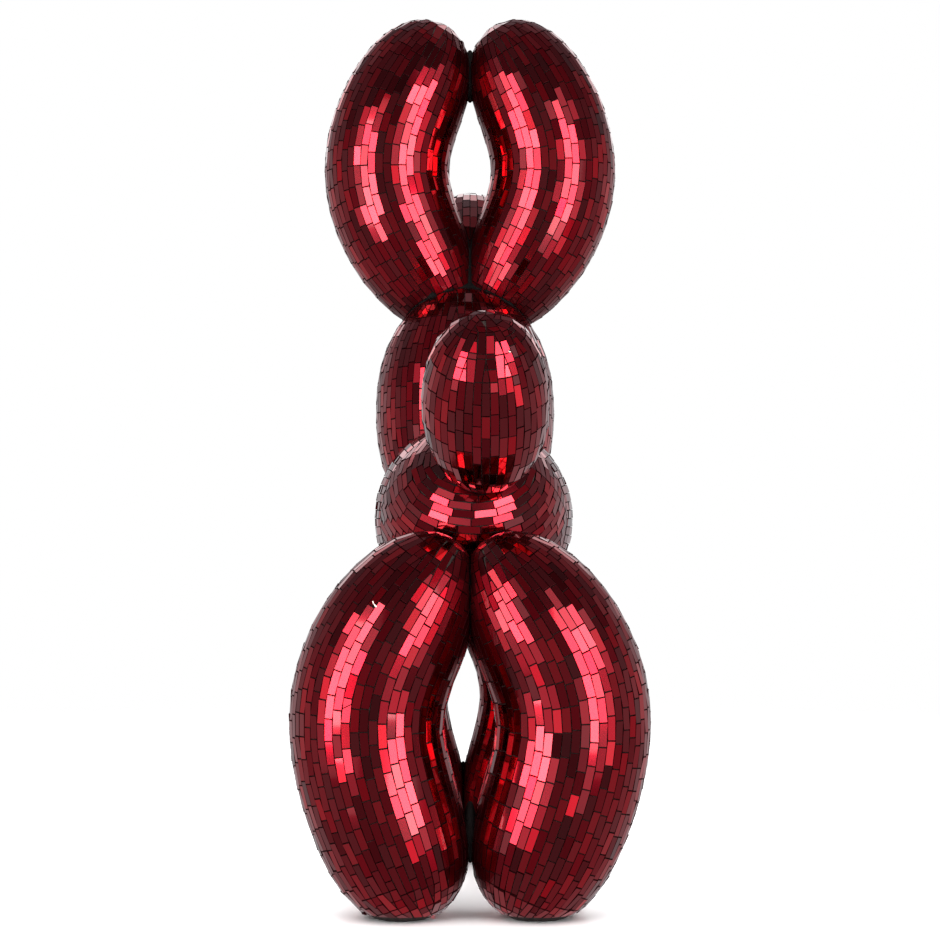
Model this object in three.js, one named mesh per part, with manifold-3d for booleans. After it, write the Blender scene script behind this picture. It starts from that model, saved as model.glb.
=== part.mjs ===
// A standing balloon poodle, cast in one piece from ten bent sausages that meet at twists.
// Millimetres, +Z up. The poodle faces +Y, its tail is towards -Y, and X is its width.
import * as THREE from 'three';
import * as BufferGeometryUtils from 'three/addons/utils/BufferGeometryUtils.js';
import Module from 'manifold-3d';

// Fineness of each sausage.
const SIDES = 24;
const RINGS = 20;
const BEND_STEPS = 40;

// Twist points, where the sausages meet.
const HIP_HEIGHT = 195;
const STANCE = 196;

// Legs, two at the back and two at the front. The lower end of each is cut flat at the floor.
const LEG_RADIUS = 41;
const LEG_UPPER = 98.3;
const LEG_SPREAD = 52.8;
const LEG_BEND = 31.5;
const LEG_BEND_REACH = 39.7;
const LEG_SPLAY = 7;
const FRONT_LEG_SPREAD = 49.5;
const FRONT_LEG_OFFSET = -4;
const SOLE_CUT = 5;

// Trunk, lying along Y.
const TRUNK_RADIUS = 55.8;
const TRUNK_LENGTH = 186;
const TRUNK_AXIS_ABOVE_HIP = 10;
const TRUNK_BACK_SET = 9;
const TRUNK_OFFSET = 2;

// Neck.
const NECK_RADIUS = 54;
const NECK_LENGTH = 148;
const NECK_LEAN = 5;
const NECK_SET_BACK = 4;
const NECK_OFFSET = -3;

// Ears, standing up from the top of the neck.
const EAR_RADIUS = 38.4;
const EAR_UPPER = 98.5;
const EAR_LOWER = 105.5;
const EAR_SPREAD = 50.3;
const EAR_BEND = 36.3;
const EAR_BEND_REACH = 42.6;
const EAR_SPLAY = -1.4;
const EAR_SET_FORWARD = 13;
const TWIST_SINK = 12;

// Snout, pointing forwards and up.
const SNOUT_RADIUS = 38;
const SNOUT_LENGTH = 124;
const SNOUT_RISE = 31;

// Tail, standing on the rear end of the trunk and leaning back.
const TAIL_RADIUS = 34.2;
const TAIL_LENGTH = 104;
const TAIL_LEAN = 32;
const TAIL_BASE_ABOVE_HIP = 26;
const TAIL_BASE_FORWARD = 13;
const TAIL_OFFSET = 8;

// Bluntness of the ends: 2 gives an ellipse, more gives a fuller end.
const EGG = 2.2;
const FULL = 2.5;
const LOBE = 2.9;
const HAUNCH = 3;
const CROWN = 3.8;
const FOOT = 5;

// Side of the block below the floor that cuts the soles flat.
const FLOOR_BLOCK = 1000;

const glassRed = new THREE.MeshStandardMaterial({ color: 0x7d0512, roughness: 0.12, metalness: 0.85 });

const radians = THREE.MathUtils.degToRad;

// Radius of a sausage at a share u of the way from its widest ring (0) to its pole (1).
function fullness(u, bluntness) {
  return Math.sqrt(Math.max(0, 1 - Math.pow(u, bluntness)));
}

// A straight sausage with its widest ring at the origin, running up and down Y.
function sausage({ radius, upper, lower, top = FULL, bottom = FULL }) {
  const profile = [];
  for (let ring = 0; ring <= RINGS; ring += 1) {
    const along = Math.sin(Math.PI * (ring / RINGS - 0.5));
    const reach = along > 0 ? upper : lower;
    const blunt = along > 0 ? top : bottom;
    const atPole = ring === 0 || ring === RINGS;
    const width = atPole ? 0 : radius * fullness(Math.abs(along), blunt);
    profile.push(new THREE.Vector2(width, along * reach));
  }
  return new THREE.LatheGeometry(profile, SIDES);
}

// The bent centreline at a length s above its waist. It turns by `degrees` towards +X at each end,
// most sharply at the waist and within about `reach` of it, and is then tilted as a whole.
function centreline(s, { degrees, reach, tilt = 0 }) {
  const heading = (t) => radians(tilt + degrees * t / Math.hypot(t, reach));
  const point = new THREE.Vector2();
  const step = s / BEND_STEPS;
  for (let i = 0; i < BEND_STEPS; i += 1) {
    const angle = heading((i + 0.5) * step);
    point.x += step * Math.sin(angle);
    point.y += step * Math.cos(angle);
  }
  return { point, angle: heading(s) };
}

// Moves the rings of a straight sausage onto a bent centreline.
function bend(geometry, curve) {
  const position = geometry.attributes.position;
  for (let i = 0; i < position.count; i += 1) {
    const { point, angle } = centreline(position.getY(i), curve);
    const out = position.getX(i);
    position.setX(i, point.x + out * Math.cos(angle));
    position.setY(i, point.y - out * Math.sin(angle));
  }
  return geometry;
}

// Turns a sausage that runs along Y so that it runs along `up`, with its inner side towards `inner`.
function place(geometry, at, up, inner) {
  const yAxis = up.clone().normalize();
  const zAxis = new THREE.Vector3().crossVectors(inner, yAxis).normalize();
  const xAxis = new THREE.Vector3().crossVectors(yAxis, zAxis);
  geometry.applyMatrix4(new THREE.Matrix4().makeBasis(xAxis, yAxis, zAxis).setPosition(at));
  return geometry;
}

const UP = new THREE.Vector3(0, 0, 1);

// Where each pair of legs has its middle, and how far each leg stands from it.
const backPair = { x: 0, y: 0, spread: LEG_SPREAD };
const frontPair = { x: FRONT_LEG_OFFSET, y: STANCE, spread: FRONT_LEG_SPREAD };

// side is -1 for the left sausage of a pair and 1 for the right one.
function towardsMiddle(side) {
  return new THREE.Vector3(-side, 0, 0);
}

function leg(side, pair) {
  const curve = { degrees: LEG_BEND, reach: LEG_BEND_REACH, tilt: LEG_SPLAY };
  const waist = HIP_HEIGHT - centreline(LEG_UPPER, curve).point.y;
  const lower = (waist + SOLE_CUT) / Math.cos(radians(LEG_BEND - LEG_SPLAY) / 2);
  const geometry = sausage({ radius: LEG_RADIUS, upper: LEG_UPPER, lower, top: HAUNCH, bottom: FOOT });
  const at = new THREE.Vector3(pair.x + side * pair.spread, pair.y, waist);
  return place(bend(geometry, curve), at, UP, towardsMiddle(side));
}

function trunk() {
  const half = TRUNK_LENGTH / 2;
  const geometry = sausage({ radius: TRUNK_RADIUS, upper: half, lower: half });
  const height = HIP_HEIGHT + TRUNK_AXIS_ABOVE_HIP;
  const centre = new THREE.Vector3(TRUNK_OFFSET, TRUNK_BACK_SET + half, height);
  return place(geometry, centre, new THREE.Vector3(0, 1, 0), UP);
}

const neckUp = new THREE.Vector3(0, Math.sin(radians(NECK_LEAN)), Math.cos(radians(NECK_LEAN)));
const shoulder = new THREE.Vector3(NECK_OFFSET, STANCE - NECK_SET_BACK, HIP_HEIGHT);
const headTwist = shoulder.clone().addScaledVector(neckUp, NECK_LENGTH - TWIST_SINK).setX(0);

function neck() {
  const half = NECK_LENGTH / 2;
  const geometry = sausage({ radius: NECK_RADIUS, upper: half, lower: half, top: EGG });
  const middle = shoulder.clone().addScaledVector(neckUp, half);
  return place(geometry, middle, neckUp, UP.clone().cross(neckUp));
}

function ear(side) {
  const curve = { degrees: EAR_BEND, reach: EAR_BEND_REACH, tilt: EAR_SPLAY };
  const rise = -centreline(-EAR_LOWER, curve).point.y;
  const geometry = sausage({
    radius: EAR_RADIUS,
    upper: EAR_UPPER,
    lower: EAR_LOWER,
    top: CROWN,
    bottom: LOBE,
  });
  const waist = new THREE.Vector3(
    side * EAR_SPREAD,
    headTwist.y + EAR_SET_FORWARD,
    headTwist.z - TWIST_SINK + rise,
  );
  return place(bend(geometry, curve), waist, UP, towardsMiddle(side));
}

function snout() {
  const half = SNOUT_LENGTH / 2;
  const forward = new THREE.Vector3(0, Math.cos(radians(SNOUT_RISE)), Math.sin(radians(SNOUT_RISE)));
  const geometry = sausage({ radius: SNOUT_RADIUS, upper: half, lower: half, top: EGG });
  return place(geometry, headTwist.clone().addScaledVector(forward, half), forward, UP);
}

function tail() {
  const half = TAIL_LENGTH / 2;
  const lean = radians(TAIL_LEAN);
  const backwards = new THREE.Vector3(0, -Math.sin(lean), Math.cos(lean));
  const base = new THREE.Vector3(
    TAIL_OFFSET,
    TRUNK_BACK_SET + TAIL_BASE_FORWARD,
    HIP_HEIGHT + TAIL_BASE_ABOVE_HIP,
  );
  const geometry = sausage({ radius: TAIL_RADIUS, upper: half, lower: half, top: EGG, bottom: EGG });
  return place(geometry, base.addScaledVector(backwards, half), backwards, UP);
}

// Everything below the floor, which is cut off the feet.
function belowFloor() {
  const geometry = new THREE.BoxGeometry(FLOOR_BLOCK, FLOOR_BLOCK, FLOOR_BLOCK);
  return geometry.translate(0, 0, -FLOOR_BLOCK / 2);
}

const wasm = await Module();
wasm.setup();

function toSolid(geometry) {
  const bare = geometry.clone();
  bare.deleteAttribute('normal');
  bare.deleteAttribute('uv');
  const merged = BufferGeometryUtils.mergeVertices(bare, 1e-3);
  return new wasm.Manifold(new wasm.Mesh({
    numProp: 3,
    vertProperties: new Float32Array(merged.attributes.position.array),
    triVerts: new Uint32Array(merged.index.array),
  }));
}

function toGeometry(solid) {
  const mesh = solid.getMesh();
  const geometry = new THREE.BufferGeometry();
  geometry.setAttribute('position', new THREE.BufferAttribute(mesh.vertProperties, 3));
  geometry.setIndex(new THREE.BufferAttribute(mesh.triVerts, 1));
  geometry.computeVertexNormals();
  return geometry;
}

const sausages = [
  leg(-1, backPair),
  leg(1, backPair),
  leg(-1, frontPair),
  leg(1, frontPair),
  trunk(),
  neck(),
  ear(-1),
  ear(1),
  snout(),
  tail(),
];

const cast = sausages.map(toSolid).reduce((joined, next) => joined.add(next));
const standing = toGeometry(cast.subtract(toSolid(belowFloor())));

// The origin is on the floor, under the middle of the whole figure.
standing.computeBoundingBox();
const middle = standing.boundingBox.getCenter(new THREE.Vector3());
standing.translate(-middle.x, -middle.y, 0);

const poodle = new THREE.Group();
const body = new THREE.Mesh(standing, glassRed);
body.name = 'poodle_body';
poodle.add(body);

export default poodle;
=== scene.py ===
# Balloon poodle covered with red mirror-glass mosaic. Metres, +Z up, the poodle faces +Y.
import math

import bmesh
import bpy
import numpy as np
from mathutils import Matrix, Vector


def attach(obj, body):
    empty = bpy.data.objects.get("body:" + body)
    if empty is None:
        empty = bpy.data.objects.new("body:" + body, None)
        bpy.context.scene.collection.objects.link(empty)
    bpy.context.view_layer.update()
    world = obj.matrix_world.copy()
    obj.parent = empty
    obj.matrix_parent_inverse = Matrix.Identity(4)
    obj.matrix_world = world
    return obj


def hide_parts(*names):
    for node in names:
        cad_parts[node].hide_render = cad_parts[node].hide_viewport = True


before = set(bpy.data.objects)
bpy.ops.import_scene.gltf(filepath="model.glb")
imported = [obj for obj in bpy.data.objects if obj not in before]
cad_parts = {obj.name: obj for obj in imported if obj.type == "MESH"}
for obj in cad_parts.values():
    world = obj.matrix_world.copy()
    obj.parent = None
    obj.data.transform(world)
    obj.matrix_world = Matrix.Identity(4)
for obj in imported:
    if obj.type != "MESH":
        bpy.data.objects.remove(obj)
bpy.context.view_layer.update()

MM = 0.001
SEED = 20

# The same sizes as in the part's source, in millimetres.
HIP_HEIGHT = 195
STANCE = 196
LEG_RADIUS = 41
LEG_UPPER = 98.3
LEG_SPREAD = 52.8
LEG_BEND = 31.5
LEG_BEND_REACH = 39.7
LEG_SPLAY = 7
FRONT_LEG_SPREAD = 49.5
FRONT_LEG_OFFSET = -4
SOLE_CUT = 5
TRUNK_RADIUS = 55.8
TRUNK_LENGTH = 186
TRUNK_AXIS_ABOVE_HIP = 10
TRUNK_BACK_SET = 9
TRUNK_OFFSET = 2
NECK_RADIUS = 54
NECK_LENGTH = 148
NECK_LEAN = 5
NECK_SET_BACK = 4
NECK_OFFSET = -3
EAR_RADIUS = 38.4
EAR_UPPER = 98.5
EAR_LOWER = 105.5
EAR_SPREAD = 50.3
EAR_BEND = 36.3
EAR_BEND_REACH = 42.6
EAR_SPLAY = -1.4
EAR_SET_FORWARD = 13
TWIST_SINK = 12
SNOUT_RADIUS = 38
SNOUT_LENGTH = 124
SNOUT_RISE = 31
TAIL_RADIUS = 34.2
TAIL_LENGTH = 104
TAIL_LEAN = 32
TAIL_BASE_ABOVE_HIP = 26
TAIL_BASE_FORWARD = 13
TAIL_OFFSET = 8
EGG = 2.2
FULL = 2.5
LOBE = 2.9
HAUNCH = 3
CROWN = 3.8
FOOT = 5

# The mosaic, in millimetres and degrees. The tiles' faces lie SKIN_SINK under the solid's skin, and the
# grout lies GROUT_SINK under the faces.
SKIN_SINK = 1.0
GROUT_SINK = 1.0
TILE_WIDTH = 4.7
TILE_LENGTH = 12.1
TILE_THICKNESS = 1.7
TILE_EDGE = 0.1
TILE_TILT = 1.5
MOST_TILT = 3
JOINT = 0.4
# Bare grout above the floor, and between the tiles of two sausages where they meet.
FLOOR_MARGIN = 2.8
CREASE_MARGIN = 0.3
# Tiles within this distance of the other sausages, and on the legs and ears, which come in pairs, from
# farther off, are made rougher with less shine and painted darker as crease shade.
DULL_AND_SHADE_REACH = 6
PAIR_DULL_AND_SHADE_REACH = 45
DULL_AND_SHADE_POWER = 1.5
MOST_DULL_AND_SHADE = 0.85
# A tile with a smaller face isn't made, a shorter edge is left out, and a bevel leaves at least this
# share of a face's width.
LEAST_TILE = 0.8
LEAST_EDGE = 0.25
LEAST_SHRINK = 0.7
# Strips round each sausage at its waist.
LEG_STRIPS = 54
TRUNK_STRIPS = 72
NECK_STRIPS = 72
EAR_STRIPS = 51
SNOUT_STRIPS = 51
TAIL_STRIPS = 45
# Strips begin to end in wedges where they are narrower than this share of the tile width. Those places
# scatter, and they keep clear of earlier ones and of the pole.
NARROW = 0.62
LEAST_STRIPS = 6
STAGE_SCATTER = 7
LATER_SCATTER = 1.2
STAGE_GAP = 2.0
POLE_GAP = 1.0
# Cuts across a strip: how uneven they are, how near in tile lengths they come to its ends, the shortest
# row between fixed cuts, and the last tile at each end. Corners closer in phi than LEAST_PHI are one.
ROW_SCATTER = 0.07
NEAREST_CUT = 0.4
LEAST_ROW = 1.6
END_TILE = 5.5
LEAST_PHI = 0.004

# The strips on the trunk's rear end run in loops under the tail, about an axis that leans back.
LOOPS_LENGTH = 50
LOOPS_LEAN = 40

# Webs of grout where the ears and the legs of a pair touch: height, and half-lengths along X, Y and Z.
EAR_WEB_HEIGHT = 471
EAR_WEB = (4, 8, 16)
LEG_WEB_HEIGHT = 44
LEG_WEB = (3.6, 6.5, 16)
# The grout is painted darker towards a crease, as shade, within this distance of it.
CREASE_SHADE_REACH = 8

# Fineness of curves and meshes.
CENTRE_STEPS = 360
HALF_STEPS = 900
PATH_STEPS = 90
LOOP_STEPS = 360
HALVINGS = 30
BOX_RINGS = 240
BOX_SIDES = 96
GROUT_RINGS = 56
GROUT_SIDES = 60
WEB_SIDES = 24
WEB_RINGS = 16

ACROSS = np.array([1.0, 0.0, 0.0])
UP = np.array([0.0, 0.0, 1.0])
HALF_TURN = math.pi
POLE = HALF_TURN / 2
# Slopes are infinite at a pole, so they are taken at this share of the way to it.
NEAR_POLE = 1 - 1e-7
# Edges shorter than this, in millimetres, have no direction.
NO_EDGE = 1e-6


def unit(v):
    return np.asarray(v, float) / np.linalg.norm(v)


class Sausage:
    """A balloon form with its widest ring at `at`, running along `up` and bent towards `inner`.

    A place on it is given by phi, which goes from -POLE to POLE along it, and theta, which goes round it.
    """

    def __init__(self, name, radius, upper, lower, at, up=UP, inner=(1, 0, 0), top=FULL, bottom=FULL,
                 bend=(0, 1, 0), strips=LEG_STRIPS):
        self.name = name
        self.radius = radius
        self.reach = (lower, upper)
        self.blunt = (bottom, top)
        self.bend = bend
        self.strips = strips
        self.paired = bend[0] > 0
        along = unit(up)
        side = unit(np.cross(inner, along))
        self.basis = np.stack([np.cross(along, side), along, side], axis=1)
        self.at = np.asarray(at, float)
        self.s = self.length_at(np.linspace(-POLE, POLE, CENTRE_STEPS + 1))
        self.angle = self.heading(self.s)
        x, y = self.run(np.sin), self.run(np.cos)
        self.cx = x - np.interp(0, self.s, x)
        self.cy = y - np.interp(0, self.s, y)

    def heading(self, s):
        """Angle of the centreline from `along`, at a length s from the waist."""
        degrees, reach, tilt = self.bend
        return np.radians(tilt + degrees * s / np.hypot(s, reach))

    def turning(self, s):
        """How fast the heading turns with s."""
        degrees, reach, _ = self.bend
        return np.radians(degrees) * reach ** 2 / np.hypot(s, reach) ** 3

    def run(self, part):
        """How far the centreline runs one way, where part is that way's share of each step."""
        middle = (self.angle[1:] + self.angle[:-1]) / 2
        return np.concatenate([[0], np.cumsum(part(middle) * np.diff(self.s))])

    def length_at(self, phi):
        return np.sin(phi) * np.where(phi > 0, self.reach[1], self.reach[0])

    def half(self, s):
        """Reach and bluntness of the half that s lies in."""
        upper = s > 0
        return np.where(upper, self.reach[1], self.reach[0]), np.where(upper, self.blunt[1], self.blunt[0])

    def radius_at(self, s):
        reach, blunt = self.half(s)
        return self.radius * np.sqrt(np.clip(1 - np.clip(np.abs(s) / reach, 0, 1) ** blunt, 0, None))

    def slope_at(self, s):
        """How fast the radius changes with s."""
        reach, blunt = self.half(s)
        u = np.clip(np.abs(s) / reach, 0, NEAR_POLE)
        return -np.sign(s) * self.radius * blunt * u ** (blunt - 1) / (2 * reach * np.sqrt(1 - u ** blunt))

    def point(self, phi, theta, lift=0.0):
        """Points on the surface, raised by lift, and their outward normals."""
        phi, theta = np.broadcast_arrays(np.asarray(phi, float), np.asarray(theta, float))
        s = self.length_at(phi)
        a = self.heading(s)
        r = self.radius_at(s)
        ct, st, ca, sa = np.cos(theta), np.sin(theta), np.cos(a), np.sin(a)
        radial = np.stack([ct * ca, -ct * sa, st], axis=-1)
        forward = np.stack([sa, ca, np.zeros_like(a)], axis=-1)
        stretch = 1 - self.turning(s) * r * ct
        normal = radial * stretch[..., None] - forward * self.slope_at(s)[..., None]
        normal /= np.linalg.norm(normal, axis=-1, keepdims=True)
        cx, cy = np.interp(s, self.s, self.cx), np.interp(s, self.s, self.cy)
        centre = np.stack([cx, cy, np.zeros_like(s)], axis=-1)
        local = centre + radial * r[..., None] + normal * lift
        return self.at + local @ self.basis.T, normal @ self.basis.T

    def depth(self, points):
        """How far points lie under this surface, about; negative outside."""
        local = (points - self.at) @ self.basis
        apart = (local[:, None, 0] - self.cx) ** 2 + (local[:, None, 1] - self.cy) ** 2
        near = np.argmin(apart, axis=1)
        dx, dy = local[:, 0] - self.cx[near], local[:, 1] - self.cy[near]
        a = self.angle[near]
        past = dx * np.sin(a) + dy * np.cos(a)
        s = self.s[near] + past
        off = np.hypot(dx * np.cos(a) - dy * np.sin(a), local[:, 2])
        reach, _ = self.half(s)
        beyond = np.abs(s) - reach
        inside = (self.radius_at(s) - off) / np.hypot(1, self.slope_at(s))
        return np.where(beyond > 0, -np.hypot(off, beyond), inside)


def leaning(degrees, forwards):
    """The direction that leans from upright by an angle, towards +Y or -Y."""
    a = math.radians(degrees)
    return np.array([0, forwards * math.sin(a), math.cos(a)])


def make_sausages():
    leg_bend = (LEG_BEND, LEG_BEND_REACH, LEG_SPLAY)
    gauge = Sausage("gauge", LEG_RADIUS, LEG_UPPER, LEG_UPPER, (0, 0, 0), bend=leg_bend)
    waist = HIP_HEIGHT - gauge.cy[-1]
    leg_lower = (waist + SOLE_CUT) / math.cos(math.radians(LEG_BEND - LEG_SPLAY) / 2)

    def leg(name, side, x, y, spread):
        return Sausage(name, LEG_RADIUS, LEG_UPPER, leg_lower, (x + side * spread, y, waist),
                       inner=(-side, 0, 0), top=HAUNCH, bottom=FOOT, bend=leg_bend, strips=LEG_STRIPS)

    trunk_half = TRUNK_LENGTH / 2
    trunk_at = (TRUNK_OFFSET, TRUNK_BACK_SET + trunk_half, HIP_HEIGHT + TRUNK_AXIS_ABOVE_HIP)
    neck_up = leaning(NECK_LEAN, 1)
    shoulder = np.array([NECK_OFFSET, STANCE - NECK_SET_BACK, HIP_HEIGHT])
    head = shoulder + neck_up * (NECK_LENGTH - TWIST_SINK)
    head[0] = 0
    ear_bend = (EAR_BEND, EAR_BEND_REACH, EAR_SPLAY)
    gauge = Sausage("gauge", EAR_RADIUS, EAR_UPPER, EAR_LOWER, (0, 0, 0), bend=ear_bend)

    def ear(name, side):
        at = (side * EAR_SPREAD, head[1] + EAR_SET_FORWARD, head[2] - TWIST_SINK - gauge.cy[0])
        return Sausage(name, EAR_RADIUS, EAR_UPPER, EAR_LOWER, at, inner=(-side, 0, 0), top=CROWN,
                       bottom=LOBE, bend=ear_bend, strips=EAR_STRIPS)

    forward = leaning(90 - SNOUT_RISE, 1)
    backward = leaning(TAIL_LEAN, -1)
    tail_base = np.array([TAIL_OFFSET, TRUNK_BACK_SET + TAIL_BASE_FORWARD, HIP_HEIGHT + TAIL_BASE_ABOVE_HIP])
    snout_half, tail_half, neck_half = SNOUT_LENGTH / 2, TAIL_LENGTH / 2, NECK_LENGTH / 2
    return [
        leg("leg_back_left", -1, 0, 0, LEG_SPREAD),
        leg("leg_back_right", 1, 0, 0, LEG_SPREAD),
        leg("leg_front_left", -1, FRONT_LEG_OFFSET, STANCE, FRONT_LEG_SPREAD),
        leg("leg_front_right", 1, FRONT_LEG_OFFSET, STANCE, FRONT_LEG_SPREAD),
        Sausage("trunk", TRUNK_RADIUS, trunk_half, trunk_half, trunk_at, up=(0, 1, 0), inner=UP,
                strips=TRUNK_STRIPS),
        Sausage("neck", NECK_RADIUS, neck_half, neck_half, shoulder + neck_up * neck_half, up=neck_up,
                inner=np.cross(UP, neck_up), top=EGG, strips=NECK_STRIPS),
        ear("ear_left", -1),
        ear("ear_right", 1),
        Sausage("snout", SNOUT_RADIUS, snout_half, snout_half, head + forward * snout_half, up=forward,
                inner=UP, top=EGG, strips=SNOUT_STRIPS),
        Sausage("tail", TAIL_RADIUS, tail_half, tail_half, tail_base + backward * tail_half, up=backward,
                inner=UP, top=EGG, bottom=EGG, strips=TAIL_STRIPS),
    ]


def raw_middle(sausages):
    """The middle of the whole figure in the source's frame before it is set over the origin."""
    low, high = np.full(3, np.inf), np.full(3, -np.inf)
    rings = np.linspace(-POLE, POLE, BOX_RINGS + 1)
    phi, theta = np.meshgrid(rings, np.linspace(0, 2 * HALF_TURN, BOX_SIDES + 1))
    for form in sausages:
        p, _ = form.point(phi.ravel(), theta.ravel())
        low, high = np.minimum(low, p.min(axis=0)), np.maximum(high, p.max(axis=0))
    return (low + high) / 2


SAUSAGES = make_sausages()
FORM = {form.name: form for form in SAUSAGES}
MIDDLE = raw_middle(SAUSAGES)


def to_frame(p):
    return Vector(((p[0] - MIDDLE[0]) * MM, (p[1] - MIDDLE[1]) * MM, p[2] * MM))


# Materials

# Red of a tile by its own random depth of colour, and the dark red of cut edges and of painted shade on tiles
# deep in a crease.
TILE_REDS = [(0, (0.12, 0.001, 0.006)), (0.55, (0.42, 0.002, 0.015)), (1, (0.85, 0.002, 0.018))]
DULL_AND_SHADE_RED = (0.05, 0.006, 0.008)
DULL_ROUGHNESS = 0.6
# Least and most shine of the clear glass, and roughness of the mirror under it.
TILE_COAT = (0.3, 1.0)
TILE_ROUGHNESS = (0.04, 0.11)
TILE_CLOUDS = 180
BARE_GLASS = (0.62, 0.54, 0.48)
# Brown-grey of the grout by its patches, and the near-black painted shade it takes deep in a crease.
GROUT_TONES = [(0.3, (0.016, 0.010, 0.009)), (0.7, (0.036, 0.026, 0.023))]
CREASE_SHADE_TONE = (0.004, 0.003, 0.003)
GROUT_GRAIN = 900
GROUT_PATCHES = 60


def new_material(name):
    material = bpy.data.materials.new(name)
    material.use_nodes = True
    return material, material.node_tree.nodes, material.node_tree.links


def attribute(nodes, name):
    node = nodes.new("ShaderNodeAttribute")
    node.attribute_name = name
    return node.outputs["Fac"]


def mapped(nodes, links, source, low, high, start=0.0, end=1.0):
    """A value that goes from low to high while the source goes from start to end."""
    node = nodes.new("ShaderNodeMapRange")
    for name, value in (("From Min", start), ("From Max", end), ("To Min", low), ("To Max", high)):
        node.inputs[name].default_value = value
    links.new(source, node.inputs["Value"])
    return node.outputs["Result"]


def ramp(nodes, links, source, stops):
    """Colours by a value between 0 and 1; stops are pairs of a value and its colour."""
    node = nodes.new("ShaderNodeValToRGB")
    elements = node.color_ramp.elements
    for element, (position, color) in zip(elements, (stops[0], stops[-1])):
        element.position = position
        element.color = (*color, 1)
    for position, color in stops[1:-1]:
        elements.new(position).color = (*color, 1)
    links.new(source, node.inputs["Fac"])
    return node.outputs["Color"]


def noise(nodes, scale, detail):
    node = nodes.new("ShaderNodeTexNoise")
    node.inputs["Scale"].default_value = scale
    node.inputs["Detail"].default_value = detail
    return node.outputs["Fac"]


def tinted(nodes, links, share, source, color):
    """The source's colour, mixed with another one by a share."""
    node = nodes.new("ShaderNodeMixRGB")
    node.inputs["Color2"].default_value = (*color, 1)
    links.new(share, node.inputs["Fac"])
    links.new(source, node.inputs["Color1"])
    return node.outputs["Color"]


def computed(nodes, links, operation, *sources):
    node = nodes.new("ShaderNodeMath")
    node.operation = operation
    for source, socket in zip(sources, node.inputs):
        links.new(source, socket)
    return node.outputs["Value"]


def tile_material():
    """Red mirror glass: a coloured mirror under clear glass. Each tile has its own depth of colour (shade)
    and its own shine of the clear glass (veil). Cut edges are dull and dark; tiles deep in the creases are
    made rougher with less shine and painted darker as shade."""
    material, nodes, links = new_material("red_mirror_tile")
    shader = nodes["Principled BSDF"]
    shader.inputs["Metallic"].default_value = 1.0
    shader.inputs["Coat Roughness"].default_value = 0.03
    shader.inputs["Coat IOR"].default_value = 1.5
    dull_and_painted_shade = attribute(nodes, "dull_and_painted_shade")
    reds = ramp(nodes, links, attribute(nodes, "shade"), TILE_REDS)
    links.new(tinted(nodes, links, dull_and_painted_shade, reds, DULL_AND_SHADE_RED), shader.inputs["Base Color"])
    shine = mapped(nodes, links, attribute(nodes, "veil"), *TILE_COAT)
    keep = mapped(nodes, links, dull_and_painted_shade, 1.0, 0.0)
    links.new(computed(nodes, links, "MULTIPLY", shine, keep), shader.inputs["Coat Weight"])
    clouds = mapped(nodes, links, noise(nodes, TILE_CLOUDS, 3), *TILE_ROUGHNESS)
    matt = mapped(nodes, links, dull_and_painted_shade, 0.0, DULL_ROUGHNESS)
    links.new(computed(nodes, links, "MAXIMUM", clouds, matt), shader.inputs["Roughness"])
    return material


def bare_glass_material():
    """Pale broken glass where the mirror's colour has gone."""
    material, nodes, _ = new_material("bare_glass")
    shader = nodes["Principled BSDF"]
    shader.inputs["Base Color"].default_value = (*BARE_GLASS, 1)
    shader.inputs["Roughness"].default_value = 0.3
    return material


def grout_material():
    """Dark brown-grey cement grout, matt and fine-grained, painted darker as shade deep in the creases."""
    material, nodes, links = new_material("dark_grout")
    shader = nodes["Principled BSDF"]
    shader.inputs["Roughness"].default_value = 0.85
    shader.inputs["Specular IOR Level"].default_value = 0.2
    tones = ramp(nodes, links, noise(nodes, GROUT_PATCHES, 2), GROUT_TONES)
    # The crease attribute is the grout's share of painted shade in the creases.
    grout_crease_shade = attribute(nodes, "crease")
    links.new(tinted(nodes, links, grout_crease_shade, tones, CREASE_SHADE_TONE), shader.inputs["Base Color"])
    bump = nodes.new("ShaderNodeBump")
    bump.inputs["Strength"].default_value = 0.35
    bump.inputs["Distance"].default_value = 0.0003
    links.new(noise(nodes, GROUT_GRAIN, 4), bump.inputs["Height"])
    links.new(bump.outputs["Normal"], shader.inputs["Normal"])
    return material


# Grout body

def new_object(name, mesh):
    data = bpy.data.meshes.new(name)
    mesh.to_mesh(data)
    mesh.free()
    obj = bpy.data.objects.new(name, data)
    bpy.context.scene.collection.objects.link(obj)
    return obj


def lathe(form, lift):
    """One sausage as a closed mesh object, lifted off its surface."""
    mesh = bmesh.new()
    phi = np.linspace(-POLE, POLE, GROUT_RINGS + 1)
    theta = np.linspace(0, 2 * HALF_TURN, GROUT_SIDES, endpoint=False)
    rings = [[mesh.verts.new(to_frame(p)) for p in form.point(value, theta, lift)[0]] for value in phi[1:-1]]
    ends = [mesh.verts.new(to_frame(form.point(value, 0.0, lift)[0])) for value in (-POLE, POLE)]
    for i in range(GROUT_SIDES):
        j = (i + 1) % GROUT_SIDES
        for ring, after in zip(rings, rings[1:]):
            mesh.faces.new((ring[i], ring[j], after[j], after[i]))
        mesh.faces.new((ends[0], rings[0][j], rings[0][i]))
        mesh.faces.new((ends[1], rings[-1][i], rings[-1][j]))
    bmesh.ops.recalc_face_normals(mesh, faces=mesh.faces)
    return new_object(form.name, mesh)


def web(name, at, size):
    """A lens of grout; `size` is its half-lengths along X, Y and Z."""
    mesh = bmesh.new()
    where = Matrix.Translation(to_frame(at)) @ Matrix.Diagonal(Vector(size) * MM).to_4x4()
    bmesh.ops.create_uvsphere(mesh, u_segments=WEB_SIDES, v_segments=WEB_RINGS, radius=1.0, matrix=where)
    return new_object(name, mesh)


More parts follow.
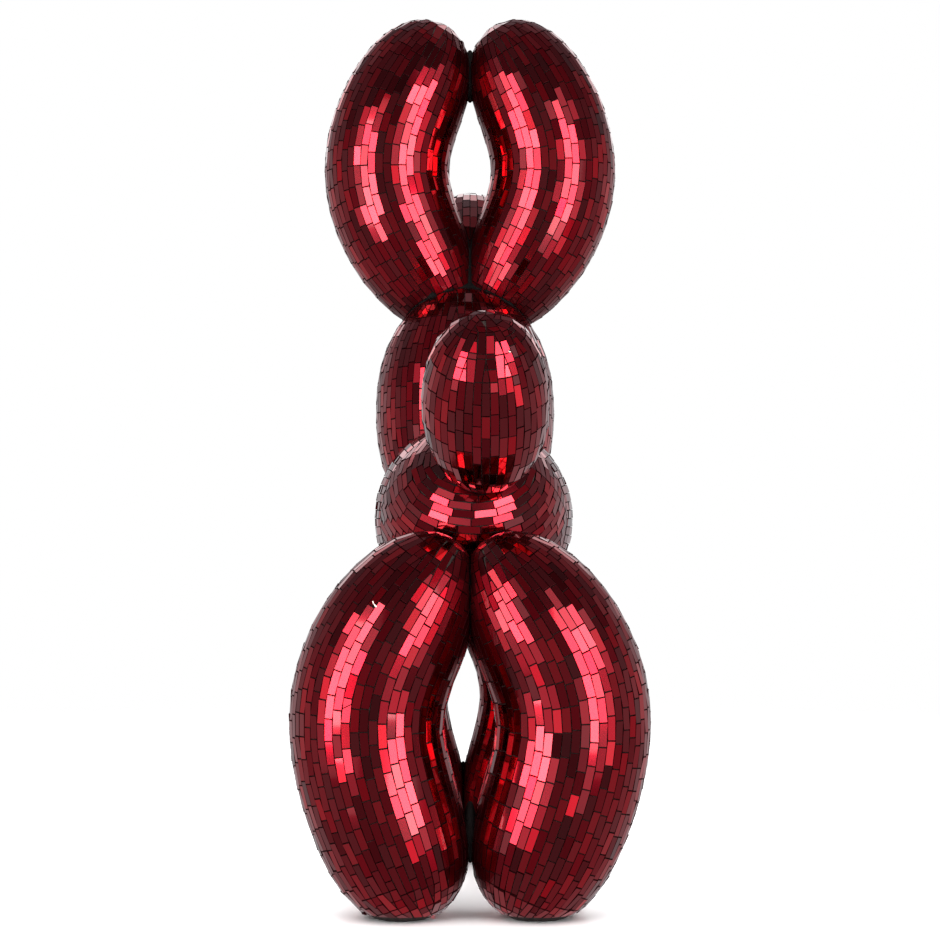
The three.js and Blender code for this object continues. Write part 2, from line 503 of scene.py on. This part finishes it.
def webs():
    """The grout that fills the places where the ears and the legs of each pair touch, painted near-black as
    crease shade.
    """
    front = FORM["leg_front_left"].at[1]
    return [
        web("web_ears", (0, FORM["ear_left"].at[1], EAR_WEB_HEIGHT), EAR_WEB),
        web("web_back_legs", (0, 0, LEG_WEB_HEIGHT), LEG_WEB),
        web("web_front_legs", (FRONT_LEG_OFFSET, front, LEG_WEB_HEIGHT), LEG_WEB),
    ]


def paint_crease_shade(body):
    """Gives the grout's vertices a share of painted shade that says how deep in a crease between sausages
    they lie. The webs, which lie above the sausages' grout, have all of it and are painted near-black."""
    places = np.empty(3 * len(body.data.vertices))
    body.data.vertices.foreach_get("co", places)
    places = places.reshape(-1, 3) / MM + [MIDDLE[0], MIDDLE[1], 0]
    depths = np.sort([form.depth(places) for form in SAUSAGES], axis=0)
    share = np.clip(1 + (depths[-2] - SKIN_SINK) / CREASE_SHADE_REACH, 0, 1)
    share[depths[-1] < SKIN_SINK] = 1
    body.data.attributes.new("crease", "FLOAT", "POINT").data.foreach_set("value", share)


def below_floor():
    block = bmesh.new()
    bmesh.ops.create_cube(block, size=1.0, matrix=Matrix.Translation((0, 0, -0.5)))
    return new_object("below_floor", block)


def joined(objects, name):
    """All closed meshes joined into one skin, cut flat at the floor."""
    base = objects[0]
    floor = below_floor()
    for other, operation in [(obj, "UNION") for obj in objects[1:]] + [(floor, "DIFFERENCE")]:
        boolean = base.modifiers.new("join", "BOOLEAN")
        boolean.operation = operation
        boolean.solver = "MANIFOLD"
        boolean.object = other
    shown = base.evaluated_get(bpy.context.evaluated_depsgraph_get())
    result = bpy.data.objects.new(name, bpy.data.meshes.new_from_object(shown))
    for obj in objects + [floor]:
        bpy.data.objects.remove(obj)
    bpy.context.scene.collection.objects.link(result)
    return result


# Mosaic

# Damaged tiles in the photograph, each by its sausage and a place in the source's frame.
CHIPPED = ("leg_back_left", (-48.1, -34.0, 162.1))
CRACKED = ("leg_back_left", (-62.9, -38.7, 111.1))
PITTED = ("tail", (19.8, -41.8, 289.7))
# CHIP_CUT points to the chipped corner, and the cut lies CHIP_DEPTH before the place.
CHIP_CUT = (0.6, -0.8)
CHIP_DEPTH = 0.4
# The crack runs through its place, at a right angle to CRACK_DIRECTION.
CRACK_DIRECTION = (-0.45, 0.9)
CRACK_WIDTH = 0.3
# Outlines of flecks of bare glass and of the pit, in millimetres to the right and up from a place.
FLECK_LIFT = 0.35
CHIP_FLECKS = [
    [(-1.3, 2.4), (-0.8, 2.5), (-0.3, 1.2), (-0.7, 0.8)],
    [(-0.5, 0.7), (-0.1, 0.9), (1.7, -0.8), (1.3, -1.3), (0.4, -0.6)],
]
PIT_FLECKS = [[(-0.75, -0.1), (-0.5, -0.8), (0.2, -1.0), (0.8, -0.5), (0.2, -0.6), (-0.4, -0.45)]]
PIT = [(-0.5, -0.1), (-0.2, -0.5), (0.3, -0.5), (0.6, -0.1), (0.5, 0.4), (0.0, 0.6), (-0.4, 0.4)]

# What each face of a tile carries: depth of colour, shine, and dull cut edge or painted crease shade.
LOOKS = ("shade", "veil", "dull_and_painted_shade")

# A direction that no tile faces, from which tilts are measured.
SLANT = (0.31, 0.86, 0.4)

# How far each edge of a block of two or three strips has moved sideways, in strips, when one of them ends.
CLOSING = {2: (0.0, 1.0, 0.0), 3: (0.0, 0.5, -0.5, 0.0)}
# Which strips of such a block go on.
GOING_ON = {2: (0,), 3: (0, 2)}


def half_strips(form, end, rng):
    """Paths of strips from the waist to one end, each a list of (phi, left theta, right theta).

    Where the strips of a stage have become narrow, one in each block ends in a wedge.
    """
    phi = np.linspace(0, POLE, HALF_STEPS)
    r = form.radius_at(form.length_at(phi * end))
    length = path_lengths(form.point(phi * end, POLE)[0])
    count = form.strips
    paths = [[] for _ in range(count)]
    live = {index: (path, 0.0) for index, path in enumerate(paths)}
    scatter = STAGE_SCATTER
    while count > LEAST_STRIPS:
        group = 3 if count % 3 == 0 else 2
        if count % group:
            break
        step = 2 * HALF_TURN / count
        narrow = length[np.argmax(step * r < NARROW * TILE_WIDTH)]
        following = {}
        for block in range(count // group):
            members = range(block * group, (block + 1) * group)
            past = max(live[index][1] for index in members)
            stop = max(narrow + rng.uniform(-scatter, scatter), past + STAGE_GAP)
            stop = min(stop, length[-1] - POLE_GAP)
            start = max(past, stop - TILE_LENGTH)
            for place, index in enumerate(members):
                path, _ = live[index]
                left, right = index + CLOSING[group][place], index + 1 + CLOSING[group][place + 1]
                path.append((end * np.interp(start, length, phi), index * step, (index + 1) * step))
                path.append((end * np.interp(stop, length, phi), left * step, right * step))
                if place in GOING_ON[group]:
                    following[block * (group - 1) + GOING_ON[group].index(place)] = (path, stop)
        live = following
        count = count * (group - 1) // group
        scatter = LATER_SCATTER
    step = 2 * HALF_TURN / count
    for index, (path, _) in live.items():
        path.append((end * POLE, index * step, (index + 1) * step))
    return paths


def strip_paths(form, rng):
    """Strips from end to end."""
    halves = [half_strips(form, end, rng) for end in (-1, 1)]
    return [np.array(low[::-1] + high) for low, high in zip(*halves)]


def path_lengths(points):
    return np.concatenate([[0], np.cumsum(np.linalg.norm(np.diff(points, axis=0), axis=1))])


def row_cuts(total, rng, fixed=()):
    """Lengths where a strip is cut: its ends, the fixed ones, and others about a tile length apart."""
    clear = NEAREST_CUT * TILE_LENGTH
    ends = [0.0]
    for at in sorted(fixed):
        if at - ends[-1] > LEAST_ROW and total - at > LEAST_ROW:
            ends.append(at)
    ends = np.array(ends + [total])
    cuts = []
    at = rng.random() * TILE_LENGTH
    while at < total:
        if np.abs(ends - at).min() > clear:
            cuts.append(at)
        at += TILE_LENGTH * (1 + rng.uniform(-ROW_SCATTER, ROW_SCATTER))
    return np.sort(np.concatenate([ends, cuts]))


def lengthwise_tiles(form, rng):
    """Tiles in strips that run along a sausage, as lists of (phi, theta) corners."""
    tiles = []
    for path in strip_paths(form, rng):
        nodes, left, right = path.T
        fine = np.linspace(nodes[0], nodes[-1], PATH_STEPS)
        middle = (np.interp(fine, nodes, left) + np.interp(fine, nodes, right)) / 2
        length = path_lengths(form.point(fine, middle)[0])
        fixed = [END_TILE, *np.interp(nodes[1:-1], fine, length), length[-1] - END_TILE]
        cuts = np.interp(row_cuts(length[-1], rng, fixed), length, fine)
        for a, b in zip(cuts, cuts[1:]):
            levels = [a] + [n for n in nodes if a + LEAST_PHI < n < b - LEAST_PHI] + [b]
            tiles.append([(v, np.interp(v, nodes, left)) for v in levels]
                         + [(v, np.interp(v, nodes, right)) for v in reversed(levels)])
    return tiles


def placed(form, tiles):
    """Corners of tiles as points and normals in space."""
    flat = np.array([corner for tile in tiles for corner in tile])
    points, normals = form.point(flat[:, 0], flat[:, 1], -SKIN_SINK)
    splits = np.cumsum([len(tile) for tile in tiles])[:-1]
    return np.split(points, splits), np.split(normals, splits)


def loop_place(form, centre, axis, latitude, turn):
    """Where rays from a centre inside a straight sausage meet it, given about an axis."""
    third = np.cross(axis, ACROSS)
    flat = np.cos(turn)[:, None] * ACROSS + np.sin(turn)[:, None] * third
    ray = np.cos(latitude)[:, None] * flat + np.sin(latitude)[:, None] * axis
    low, high = np.zeros(len(turn)), np.full(len(turn), 3.0 * form.radius)
    for _ in range(HALVINGS):
        middle = (low + high) / 2
        inside = form.depth(centre + ray * middle[:, None]) > 0
        low, high = np.where(inside, middle, low), np.where(inside, high, middle)
    local = (centre + ray * low[:, None] - form.at) @ form.basis
    phi = np.arcsin(np.clip(local[:, 1] / form.reach[0], -1, 1))
    return form.point(phi, np.arctan2(local[:, 2], local[:, 0]), -SKIN_SINK)


def loop_tiles(form, rng):
    """Tiles in loops about a leaning axis on the rear end of the trunk, as corner points and normals."""
    centre = form.at + form.basis[:, 1] * (LOOPS_LENGTH - form.reach[0])
    axis = leaning(LOOPS_LEAN, -1)
    step = TILE_WIDTH / form.radius
    turns, latitudes = [], []
    around = np.linspace(0, 2 * HALF_TURN, LOOP_STEPS + 1)
    for latitude in np.arange(-POLE + step, POLE - step, step):
        middle = np.full_like(around, latitude + step / 2)
        length = path_lengths(loop_place(form, centre, axis, middle, around)[0])
        cuts = np.interp(row_cuts(length[-1], rng), length, around)
        for a, b in zip(cuts, cuts[1:]):
            turns += [a, b, b, a]
            latitudes += [latitude, latitude, latitude + step, latitude + step]
    points, normals = loop_place(form, centre, axis, np.array(latitudes), np.array(turns))
    return list(points.reshape(-1, 4, 3)), list(normals.reshape(-1, 4, 3))


def crease_depth(form, points):
    """How deep points lie under the tiles of the other sausages; negative outside."""
    return np.max([other.depth(points) for other in SAUSAGES if other is not form], axis=0) - SKIN_SINK


def hidden_depth(points, crease, side):
    """How deep points lie inside the other sausages or under the floor, or on the trunk past the border
    between its loops and its lengthwise strips."""
    depth = np.maximum(FLOOR_MARGIN - points[:, 2], crease + CREASE_MARGIN)
    if side:
        border = FORM["trunk"].at[1] - FORM["trunk"].reach[0] + LOOPS_LENGTH
        depth = np.maximum(depth, side * (points[:, 1] - border))
    return depth


def kept_part(corners, depths):
    """The part of a polygon where the depth is negative."""
    kept = []
    for i, a in enumerate(corners):
        j = (i + 1) % len(corners)
        da, db = depths[i], depths[j]
        if da < 0:
            kept.append(a)
        if (da < 0) != (db < 0):
            kept.append(a + (corners[j] - a) * da / (da - db))
    return kept


def inset(points, normal, amount):
    """A polygon shrunk by an amount, or None when nothing is left of it."""
    result = list(points)
    for i, start in enumerate(points):
        edge = points[(i + 1) % len(points)] - start
        size = np.linalg.norm(edge)
        if size < NO_EDGE:
            continue
        inward = np.cross(normal, edge / size)
        heights = [np.dot(q - start, inward) - amount for q in result]
        result = kept_part(result, [-h for h in heights])
        if len(result) < 3:
            return None
    return result


def area(points):
    spokes = np.array(points[1:]) - points[0]
    return np.linalg.norm(np.cross(spokes[:-1], spokes[1:]).sum(axis=0)) / 2


def perimeter(points):
    return sum(np.linalg.norm(p - q) for p, q in zip(points, points[1:] + points[:1]))


def without_short_edges(points):
    kept = []
    for p in points:
        if not kept or np.linalg.norm(p - kept[-1]) > LEAST_EDGE:
            kept.append(p)
    if len(kept) > 1 and np.linalg.norm(kept[0] - kept[-1]) <= LEAST_EDGE:
        kept.pop()
    return kept


def plate(mesh, layers, outline, normal, looks):
    """One closed flat tile with a fine bevel round its face."""
    centre = np.mean(outline, axis=0)
    shrink = 1 - TILE_EDGE * perimeter(outline) / (2 * area(outline))
    face = [centre + (p - centre) * max(shrink, LEAST_SHRINK) for p in outline]
    rim = [p - normal * TILE_EDGE for p in outline]
    foot = [p - normal * TILE_THICKNESS for p in outline]
    loops = [[mesh.verts.new(to_frame(p)) for p in ring] for ring in (face, rim, foot)]
    made = [mesh.faces.new(loops[0]), mesh.faces.new(list(reversed(loops[2])))]
    for upper, lower in zip(loops, loops[1:]):
        for i in range(len(face)):
            j = (i + 1) % len(face)
            made.append(mesh.faces.new((upper[i], lower[i], lower[j], upper[j])))
    # The bevel and sides are dull cut edges; only the face keeps the tile's share of painted crease shade.
    for f in made:
        for layer, value in zip(layers, looks):
            f[layer] = value
        f[layers[-1]] = 1.0
    made[0][layers[-1]] = looks[-1]


def flattened(points, normals, rng):
    """A tile's corners moved onto one plane that is tilted a little at random, and its normal."""
    normal = unit(normals.mean(axis=0))
    across = unit(np.cross(normal, SLANT))
    tilt = np.radians(np.clip(rng.normal(0, TILE_TILT, 2), -MOST_TILT, MOST_TILT))
    normal = unit(normal + tilt[0] * across + tilt[1] * np.cross(normal, across))
    return points - np.outer((points - points.mean(axis=0)) @ normal, normal), normal


def turns_right(points, normal):
    spokes = points - points.mean(axis=0)
    return np.dot(normal, np.cross(spokes, np.roll(spokes, -1, axis=0)).sum(axis=0)) < 0


def covers(outline, normal, mark, form):
    """Whether a tile of a sausage lies over the place of a damage mark."""
    name, place = mark
    if form.name != name:
        return False
    place = np.asarray(place)
    around = zip(outline, outline[1:] + outline[:1])
    return (np.linalg.norm(place - outline[0]) < 2 * TILE_LENGTH
            and all(np.dot(np.cross(q - p, place - p), normal) > 0 for p, q in around))


def in_view(place, normal, across, up):
    """A step on a tile's plane that is seen from behind as so far across and so far up."""
    step = across * ACROSS + up * UP
    return np.asarray(place) + step - normal * np.dot(step, normal)


def damaged(form, outline, normal):
    """The pieces of a tile: one, less a corner where it is chipped, or two where it is cracked."""
    if covers(outline, normal, CHIPPED, form):
        away = unit(in_view((0, 0, 0), normal, *CHIP_CUT))
        return [kept_part(outline, [np.dot(p - CHIPPED[1], away) + CHIP_DEPTH for p in outline])]
    if covers(outline, normal, CRACKED, form):
        away = unit(in_view((0, 0, 0), normal, *CRACK_DIRECTION))
        past = [np.dot(p - CRACKED[1], away) for p in outline]
        return [kept_part(outline, [sign * v + CRACK_WIDTH / 2 for v in past]) for sign in (1, -1)]
    return [outline]


def outward(form, place):
    """The direction out of a sausage at a place on it."""
    steps = np.eye(3) / 2
    return unit(form.depth(place - steps) - form.depth(place + steps))


def fleck(mesh, form, place, shape):
    """A small flat piece lying on a sausage's tiles."""
    normal = outward(form, np.asarray(place))
    top = [to_frame(in_view(place, normal, *corner) + normal * FLECK_LIFT) for corner in shape]
    foot = [to_frame(in_view(place, normal, *corner) - normal * TILE_THICKNESS) for corner in shape]
    loops = [[mesh.verts.new(p) for p in ring] for ring in (top, foot)]
    mesh.faces.new(loops[0])
    mesh.faces.new(list(reversed(loops[1])))
    for i in range(len(shape)):
        j = (i + 1) % len(shape)
        mesh.faces.new((loops[0][i], loops[1][i], loops[1][j], loops[0][j]))
    bmesh.ops.recalc_face_normals(mesh, faces=mesh.faces)


def flecks(name, material, marks):
    """Flecks as one object; marks are pairs of a mark and outlines."""
    mesh = bmesh.new()
    for (form_name, place), shapes in marks:
        for shape in shapes:
            fleck(mesh, FORM[form_name], place, shape)
    obj = new_object(name, mesh)
    obj.data.materials.append(material)
    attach(obj, "root")


def tile_sheet(name, form, corners, normals, material, rng, side=0):
    """Tiles of one sausage, as one object. On the trunk, side is 1 for the loops and -1 for the strips."""
    everywhere = np.concatenate(corners)
    crease = crease_depth(form, everywhere)
    splits = np.cumsum([len(c) for c in corners])[:-1]
    depths = np.split(hidden_depth(everywhere, crease, side), splits)
    # Tiles near the other sausages get a share of painted crease shade: darker, duller and with less shine.
    reach = PAIR_DULL_AND_SHADE_REACH if form.paired else DULL_AND_SHADE_REACH
    tile_crease_shade = [np.clip(1 + near.mean() / reach, 0, 1) ** DULL_AND_SHADE_POWER for near in np.split(crease, splits)]
    mesh = bmesh.new()
    for look in LOOKS:
        mesh.faces.layers.float.new(look)
    layers = [mesh.faces.layers.float[look] for look in LOOKS]
    made = 0
    for points, directions, d, dull_and_painted_shade in zip(corners, normals, depths, tile_crease_shade):
        if (d >= 0).all():
            continue
        flat, normal = flattened(points, directions, rng)
        if turns_right(flat, normal):
            flat, d = flat[::-1], d[::-1]
        p = without_short_edges(kept_part(list(flat), d))
        if len(p) < 3:
            continue
        outline = inset(p, normal, JOINT / 2)
        if outline is None:
            continue
        outline = without_short_edges(outline)
        if len(outline) >= 3 and area(outline) > LEAST_TILE:
            looks = [rng.random(2).mean(), rng.random(), dull_and_painted_shade * MOST_DULL_AND_SHADE]
            for piece in damaged(form, outline, normal):
                plate(mesh, layers, piece, normal, looks)
                made += 1
    obj = new_object("tiles_" + name, mesh)
    obj.data.materials.append(material)
    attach(obj, "root")
    print(obj.name, "tiles", made, "faces", len(obj.data.polygons))


# Stage, camera and lights, in metres, degrees and watts

# The camera's distance is measured from the rear of the back legs, which is this many millimetres along Y.
REAR = -40.5
CAMERA_DISTANCE = 1.25
CAMERA_HEIGHT = 0.215
CAMERA_PITCH = 0.69
LENS = 95.7
SENSOR = 36

FLOOR_RADIUS = 1.2
FLOOR_FADES_FROM = 0.35
FLOOR_SIDES = 96
FLOOR_TONE = (0.9, 0.9, 0.9)

# The studio by height, from 0 straight below to 1 straight above, and its strength towards -Y and +Y.
STUDIO_TONES = [(0.42, (0.34, 0.33, 0.34)), (0.52, (0.38, 0.38, 0.39)), (0.75, (0.15, 0.15, 0.16))]
STUDIO_STRENGTH = (0.6, 1.25)

# Softboxes: width, height and power. One stands on each side of the camera, with a dim glow round it.
LIT_PLACE = (0, -0.1, 0.27)
BOX_ANGLES = (-42, 36)
BOX_DISTANCE = 1.5
BOX_HEIGHT = 0.42
BOX = (0.85, 1.06, 17)
GLOW = (1.35, 1.55, 5)
BACK_AT = (0, 1.7, 1.15)
BACK = (2.2, 0.9, 5)
TOP_AT = (0, 0.1, 2.5)
TOP = (5.0, 5.0, 340)


def make_camera():
    data = bpy.data.cameras.new("camera")
    data.lens = LENS
    data.sensor_width = SENSOR
    camera = bpy.data.objects.new("camera", data)
    camera.location = (-MIDDLE[0] * MM, (REAR - MIDDLE[1]) * MM - CAMERA_DISTANCE, CAMERA_HEIGHT)
    camera.rotation_euler = (math.radians(90 + CAMERA_PITCH), 0, 0)
    bpy.context.scene.collection.objects.link(camera)
    bpy.context.scene.camera = camera


def make_floor():
    """A pale floor that fades into the white backdrop."""
    mesh = bmesh.new()
    bmesh.ops.create_circle(mesh, cap_ends=True, radius=FLOOR_RADIUS, segments=FLOOR_SIDES)
    floor = new_object("floor", mesh)
    material, nodes, links = new_material("pale_floor")
    shader = nodes["Principled BSDF"]
    shader.inputs["Base Color"].default_value = (*FLOOR_TONE, 1)
    shader.inputs["Roughness"].default_value = 0.05
    shader.inputs["IOR"].default_value = 1.1
    where = nodes.new("ShaderNodeTexCoord")
    away = nodes.new("ShaderNodeVectorMath")
    away.operation = "LENGTH"
    links.new(where.outputs["Object"], away.inputs[0])
    fade = mapped(nodes, links, away.outputs["Value"], 1.0, 0.0, FLOOR_FADES_FROM, FLOOR_RADIUS)
    links.new(fade, shader.inputs["Alpha"])
    floor.data.materials.append(material)
    floor.visible_glossy = False


def make_world():
    """White for the camera, and a dim studio with a paler floor for everything else."""
    world = bpy.data.worlds.new("studio")
    world.use_nodes = True
    nodes, links = world.node_tree.nodes, world.node_tree.links
    nodes.clear()
    where = nodes.new("ShaderNodeTexCoord")
    split = nodes.new("ShaderNodeSeparateXYZ")
    links.new(where.outputs["Generated"], split.inputs[0])
    dim = nodes.new("ShaderNodeBackground")
    height = mapped(nodes, links, split.outputs["Z"], 0.0, 1.0, -1.0)
    links.new(ramp(nodes, links, height, STUDIO_TONES), dim.inputs["Color"])
    links.new(mapped(nodes, links, split.outputs["Y"], *STUDIO_STRENGTH, -1.0), dim.inputs["Strength"])
    seen = nodes.new("ShaderNodeBackground")
    seen.inputs["Color"].default_value = (1, 1, 1, 1)
    path = nodes.new("ShaderNodeLightPath")
    mix = nodes.new("ShaderNodeMixShader")
    out = nodes.new("ShaderNodeOutputWorld")
    links.new(path.outputs["Is Camera Ray"], mix.inputs["Fac"])
    links.new(dim.outputs[0], mix.inputs[1])
    links.new(seen.outputs[0], mix.inputs[2])
    links.new(mix.outputs[0], out.inputs["Surface"])
    bpy.context.scene.world = world


def softbox(name, at, target, width, height, power):
    data = bpy.data.lights.new(name, "AREA")
    data.shape = "RECTANGLE"
    data.size = width
    data.size_y = height
    data.energy = power
    light = bpy.data.objects.new(name, data)
    light.location = at
    light.rotation_mode = "QUATERNION"
    light.rotation_quaternion = (Vector(target) - Vector(at)).to_track_quat("-Z", "Y")
    light.visible_camera = False
    bpy.context.scene.collection.objects.link(light)
    return light


def make_lights():
    for degrees in BOX_ANGLES:
        angle = math.radians(degrees)
        at = (BOX_DISTANCE * math.sin(angle), -BOX_DISTANCE * math.cos(angle), BOX_HEIGHT)
        softbox("box", at, LIT_PLACE, *BOX)
        softbox("glow", at, LIT_PLACE, *GLOW)
    softbox("back", BACK_AT, LIT_PLACE, *BACK)
    top = softbox("top", TOP_AT, (TOP_AT[0], TOP_AT[1], 0), *TOP)
    top.visible_glossy = False


def main():
    rng = np.random.default_rng(SEED)
    cores = [lathe(form, -SKIN_SINK - GROUT_SINK) for form in SAUSAGES]
    body = joined(cores + webs(), "grout_body")
    body.data.materials.clear()
    grout = grout_material()
    body.data.materials.append(grout)
    body.data.shade_smooth()
    paint_crease_shade(body)
    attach(body, "root")
    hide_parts("poodle_body")
    tiles = tile_material()
    for form in SAUSAGES:
        on_trunk = form.name == "trunk"
        corners, normals = placed(form, lengthwise_tiles(form, rng))
        tile_sheet(form.name, form, corners, normals, tiles, rng, side=-1 if on_trunk else 0)
        if on_trunk:
            tile_sheet("trunk_rear", form, *loop_tiles(form, rng), tiles, rng, side=1)
    marks = [(CHIPPED, CHIP_FLECKS), (PITTED, PIT_FLECKS)]
    flecks("chip_flecks", bare_glass_material(), marks)
    flecks("pit", grout, [(PITTED, [PIT])])
    make_camera()
    make_floor()
    make_world()
    make_lights()
    bpy.context.scene.view_settings.view_transform = "Standard"


main()
